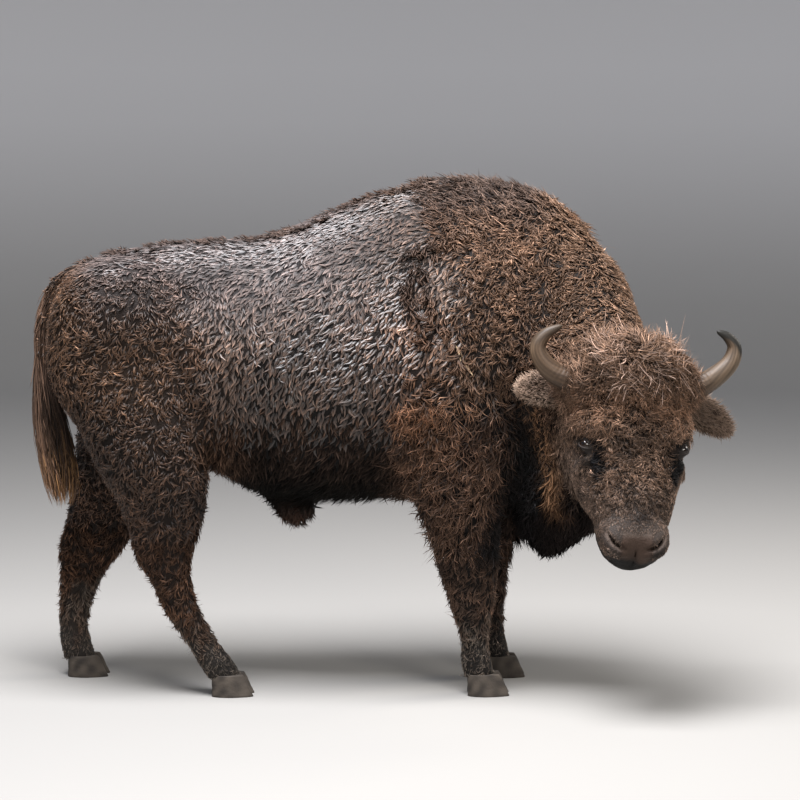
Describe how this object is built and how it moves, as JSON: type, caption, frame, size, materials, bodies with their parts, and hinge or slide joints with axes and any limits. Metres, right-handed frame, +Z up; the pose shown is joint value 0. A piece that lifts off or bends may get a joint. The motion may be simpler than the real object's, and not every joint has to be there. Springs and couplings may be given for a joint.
{
  "type": "european bison bull",
  "caption": "Standing European bison bull with a high shoulder hump, lowered head turned to its right, short upcurved horns, shaggy brown coat and long-haired tail.",
  "frame": {"origin": "centre of the model's box, on the floor under the hooves", "axes": "+X from tail towards the shoulders and head, +Y to the animal's left, +Z up"},
  "size_m": [2.2956, 1.0096, 1.6969],
  "materials": {
    "coat": "shaggy dark brown winter coat, damp and clumped",
    "head_coat": "curly brown hair on the forehead, short on the face",
    "leg_coat": "near-black hair, muddy below",
    "horn": "grey-brown keratin with a dark tip",
    "hoof": "dark worn keratin",
    "eye": "wet and dark"
  },
  "bodies": {
    "root": {"head": "head_coat", "neck": "coat", "trunk": "coat", "tail": "leg_coat", "fore_leg_right": "leg_coat", "fore_leg_left": "leg_coat", "hind_leg_right": "leg_coat", "hind_leg_left": "leg_coat", "fore_claw_right_inner": "hoof", "fore_claw_right_outer": "hoof", "fore_claw_left_inner": "hoof", "fore_claw_left_outer": "hoof", "hind_claw_right_inner": "hoof", "hind_claw_right_outer": "hoof", "hind_claw_left_inner": "hoof", "hind_claw_left_outer": "hoof", "ear_right": "head_coat", "ear_left": "head_coat", "eye_right": "eye", "eye_left": "eye", "horn_right": "horn", "horn_left": "horn"}
  },
  "joints": []
}
